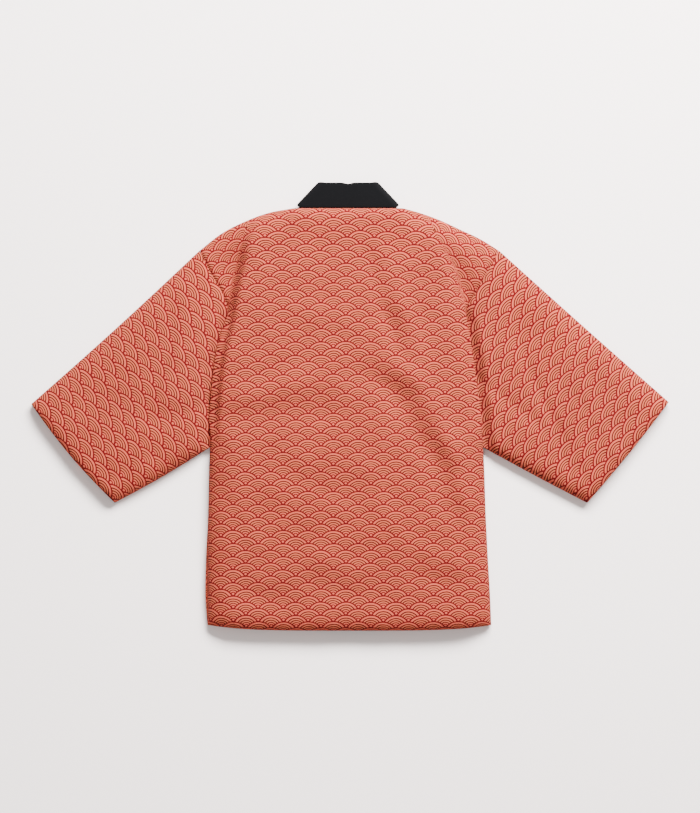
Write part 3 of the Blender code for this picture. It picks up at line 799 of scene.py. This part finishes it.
def sleeve(name, node, side, tip, corner, bow, cuff_bow):
    """A flattened tube over a share along the arm and a share across from the upper fold."""
    along = np.concatenate([
        [0.0, 0.004, 0.010, 0.018], np.linspace(0.028, 0.94, 72),
        [0.952, 0.963, 0.973, 0.982, 0.989, 0.994, 0.998, 1.0],
    ])
    v = (SHOULDER_TIP_Y - ARMHOLE_ROWS) / (SHOULDER_TIP_Y - ARMPIT_Y)
    root = np.stack([edge_x(side, ARMHOLE_ROWS) + side * SEAM_GAP, ARMHOLE_ROWS], axis=-1)
    tip, corner = np.array(tip), np.array(corner)
    down = (corner - tip) / np.linalg.norm(corner - tip)
    outward = side * np.array([-down[1], down[0]])

    def place(a, across):
        """Between the two long edges, bent to the armhole at the root and bowed at the cuff."""
        a, across = a[..., None], across[..., None]
        on_root = np.stack([np.interp(across[..., 0], v, root[:, k]) for k in (0, 1)], axis=-1)
        hump = bow * np.sin(np.pi * a) * np.array([0.0, -1.0])
        upper = root[0] + (tip - root[0]) * a + hump
        under = root[-1] + (corner - root[-1]) * a + hump
        straight = root[0] + (root[-1] - root[0]) * across
        cuff = a**2 * cuff_bow * np.sin(np.pi * across) * outward
        return upper + (under - upper) * across + (1.0 - a) * (on_root - straight) + cuff

    a, w = np.meshgrid(along, v, indexing="ij")
    plane = place(a, w)
    width = np.linalg.norm(plane[:, -1] - plane[:, 0], axis=-1)[:, None]
    length = (1.0 - w) * np.linalg.norm(tip - root[0]) + w * np.linalg.norm(corner - root[-1])
    from_fold, from_seam = w * width, (1.0 - w) * width
    from_root, from_cuff = a * length, (1.0 - a) * length
    x, y = plane[..., 0], plane[..., 1]

    rounded = rise(from_fold, SLEEVE_REACH) * rise(from_seam, 0.030)
    top = SLEEVE_EDGE_LEVEL + (SLEEVE_LEVEL - SLEEVE_EDGE_LEVEL) * rounded
    under_bulge = ease((w - 0.24) / 0.12)
    root_level = 0.0115 if side < 0 else 0.0135
    sunk = np.maximum(top - root_level, 0.0) * under_bulge * (1.0 - ease(from_root / 0.030))
    settled = ease(np.minimum(np.minimum(from_fold, from_seam), from_cuff) / 0.04)
    lumps = 0.0010 * wadding_lumps(x, y, 0.043, 21) + 0.0005 * wadding_lumps(x, y, 0.018, 23)
    top = top - sunk + folds_height(SLEEVE_FOLDS[side], from_root, from_fold) + settled * lumps
    lower = (0.0055 if side < 0 else 0.0015) * (1.0 - under_bulge) * (1.0 - ease(from_root / 0.07))
    top = top - lower * ease(from_fold / 0.03)
    sewn = (1.0 - under_bulge) * np.exp(-((from_root / 0.0035) ** 2)) * ease(from_fold / 0.02)
    top = top - 0.0030 * sewn
    top = top + PUCKER * seam_puckers(from_fold, from_root, 0.012, 27) * (1.0 - under_bulge)
    open_end = 0.40 + 0.60 * rise(from_cuff, CUFF_REACH)
    top = SLIT_LEVEL + (top - SLIT_LEVEL) * open_end
    top = top + PUCKER * seam_puckers(from_fold, from_cuff - 0.009, 0.016, 29) * settled
    edge = np.minimum(from_fold, from_seam)
    top = np.where(edge < 1e-6, SLEEVE_EDGE_LEVEL, top)
    bottom = UNDER_LIFT * (1.0 - rise(edge, UNDER_REACH)) + 0.002 * (1.0 - rise(from_cuff, 0.008))

    hem = 0.013 / width
    inner = place(a, hem + (1.0 - 2.0 * hem) * w)
    pressed = under_bulge * (1.0 - ease(from_root / 0.034))
    half_slit = 0.5 * SLIT * (0.3 + 0.7 * np.sin(np.pi * w)) * (1.0 - 0.6 * pressed)
    slit = SLIT_LEVEL - 0.0055 * pressed
    rings = [
        np.concatenate([plane, plane[:, ::-1]], axis=1),
        np.concatenate([inner, inner[:, ::-1]], axis=1),
    ]
    heights = [
        np.concatenate([top, bottom[:, ::-1]], axis=1),
        np.concatenate([slit + half_slit, (slit - half_slit)[:, ::-1]], axis=1),
    ]
    points = np.concatenate([
        np.concatenate([ring, z[..., None]], axis=-1).reshape(-1, 3)
        for ring, z in zip(rings, heights)
    ])

    # The print's rows run across the arm, and the map grows with the way over the edges
    up = np.array([-side * np.cos(PRINT_ANGLE), np.sin(PRINT_ANGLE)])
    row = np.array([up[1], -up[0]])
    spare = np.hypot(np.diff(from_fold, axis=1), np.diff(top, axis=1)) - np.diff(from_fold, axis=1)
    extra = lengths_from_middle(spare, len(v) // 2, 1)
    print_u = (plane @ row + extra) / PRINT_SPREAD
    print_v = plane @ up
    over = np.stack([print_u, print_v], axis=-1)
    folded = over[:, :1] * 2.0 - over[:, ::-1]
    folded[..., 1] = over[:, ::-1, 1]
    cloth_map = np.concatenate([over, folded], axis=1).reshape(-1, 2)

    stations, around = len(along), 2 * len(v)
    outer_n = np.arange(stations * around).reshape(stations, around)
    outer_n = np.concatenate([outer_n, outer_n[:, :1]], axis=1)
    inner_n = outer_n + stations * around
    skin, inside = cell_faces(outer_n), cell_faces(inner_n)[:, [1, 0, 3, 2]]
    start = np.stack([outer_n[0, 1:], outer_n[0, :-1], inner_n[0, :-1], inner_n[0, 1:]], axis=-1)
    cuff = np.stack([outer_n[-1, :-1], outer_n[-1, 1:], inner_n[-1, 1:], inner_n[-1, :-1]], axis=-1)
    faces = np.concatenate([skin, start, cuff, inside])
    if side < 0:
        faces = faces[:, ::-1]
    piece = cloth_object(
        name, points, faces, len(faces) - len(inside),
        np.concatenate([cloth_map, cloth_map]), [wave_cotton, wrong_side],
    )
    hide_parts(node)


for cut in SLEEVE_CUT:
    sleeve(*cut)


# The collar: one band of black cotton folded double over a firm filling, sewn on from hem
# to hem round the neck. It stands out beyond the neck seam, turns over an oblique fold at
# each neck corner and runs down between the fronts underneath.
def fold_band(s, w, lift):
    """Place a point of the flat left half band, s from the centre back and w from its seam.

    Up to the fold line the band lies flat at the upper level. There it rolls round a half
    cylinder whose axis is the fold line, and then it lies flat at the lower level.
    """
    flat = np.stack([FOLD_START - s, w], axis=-1)
    beyond = flat @ FOLD_OUTWARD
    up_line = flat @ FOLD_DIRECTION
    angle = np.clip(beyond / FOLD_RADIUS, 0.0, np.pi)
    reach = np.where(beyond < FOLD_LENGTH, np.minimum(beyond, 0.0), FOLD_LENGTH - beyond)
    reach = reach + (FOLD_RADIUS + lift) * np.sin(angle)
    plane = up_line[..., None] * FOLD_DIRECTION + reach[..., None] * FOLD_OUTWARD
    height = FOLD_CENTRE_Z + (FOLD_RADIUS + lift) * np.cos(angle)
    return plane[..., 0] - FOLD_START, plane[..., 1] + NECK_Y, height


def collar_band():
    """The flat band's rounded section, carried along it from the centre back, then folded at
    the neck corner and mirrored, with a fan of triangles over each end."""
    tan = np.tan(FOLD_ANGLE)
    in_fold = FOLD_LENGTH / np.sin(FOLD_ANGLE)
    after = FOLD_START + in_fold
    front_length = (NECK_Y - HEM_CORNER_Y) / np.cos(2.0 * FOLD_ANGLE - np.pi / 2.0)
    last = FOLD_START + 0.5 * in_fold + front_length - 0.010
    seam_s = np.concatenate([
        np.linspace(0.0, FOLD_START, 34),
        FOLD_START + in_fold * np.linspace(0.0, 1.0, 25)[1:],
        after + np.linspace(0.0, 0.110, 24)[1:],
        np.linspace(after + 0.110, last, 90)[1:],
    ])
    skew = np.interp(seam_s, [0.0, FOLD_START, after + 0.012, after + 0.110], [0, -1, -1, 0]) / tan
    turned = np.clip((seam_s - FOLD_START) / in_fold, 0.0, 1.0) * np.pi
    inner_radius = FOLD_RADIUS - COLLAR_THICKNESS / 2
    clear = np.cos(FOLD_ANGLE) * (FOLD_RADIUS * turned - inner_radius * np.sin(turned))
    clear = clear * (1.0 - ease((seam_s - after) / 0.030))
    dip = 0.0022 * np.exp(-((seam_s / 0.014) ** 2))
    angle = np.linspace(0.0, 2.0 * np.pi, 41)[:-1]
    square_x = np.sign(np.cos(angle)) * np.abs(np.cos(angle)) ** 0.16
    square_z = np.sign(np.sin(angle)) * np.abs(np.sin(angle)) ** 0.34
    share, lift = 0.5 - 0.5 * square_x, 0.5 * COLLAR_THICKNESS * square_z
    low = (SEAM_GAP + clear)[:, None]
    w = low + (COLLAR_WIDTH - dip[:, None] - low) * share[None, :]
    s = seam_s[:, None] + skew[:, None] * w
    soft = 1.0 - 0.05 * (1.0 + wadding_lumps(s, w, 0.030, 31))
    x, y, z = fold_band(s, w, lift[None, :] * soft)
    half = np.stack([x, y, z], axis=-1)
    cloth = np.stack([s, w + 0.5 * COLLAR_THICKNESS * square_z[None, :]], axis=-1)
    band = np.concatenate([half[:0:-1] * np.array([-1.0, 1.0, 1.0]), half])
    cloth = np.concatenate([cloth[:0:-1] * np.array([-1.0, 1.0]), cloth])
    band = band + np.array([NECK_MID_X, 0.0, 0.0])
    stations, around = band.shape[:2]
    n = np.arange(stations * around).reshape(stations, around)
    n = np.concatenate([n, n[:, :1]], axis=1)
    skin = cell_faces(n)
    points = band.reshape(-1, 3)
    ends = []
    for ring, order in ((0, -1), (stations - 1, 1)):
        middle_point = len(points)
        points = np.concatenate([points, band[ring].mean(axis=0, keepdims=True)])
        cloth = np.concatenate([cloth.reshape(-1, 2), cloth.reshape(-1, 2)[ring * around:][:1]])
        rim = n[ring, :-1][::order]
        ends.append(np.stack([rim, np.roll(rim, -1), np.full_like(rim, middle_point)], axis=-1))
    faces = skin.tolist() + [t for end in ends for t in end.tolist()]
    return points, faces, cloth.reshape(-1, 2)


collar_cotton = cloth_material(
    "black collar cotton", False, base=(0.0026, 0.0026, 0.0030), roughness=0.80, sheen=0.0
)
band_points, band_faces, band_map = collar_band()
band_mesh = bpy.data.meshes.new("collar_band")
band_mesh.from_pydata(band_points.tolist(), [], band_faces)
band_mesh.materials.append(collar_cotton)
lay_cloth_map(band_mesh, band_map)
band_mesh.shade_smooth()
collar = bpy.data.objects.new("collar_band", band_mesh)
bpy.context.scene.collection.objects.link(collar)
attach(collar, "root")
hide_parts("collar")
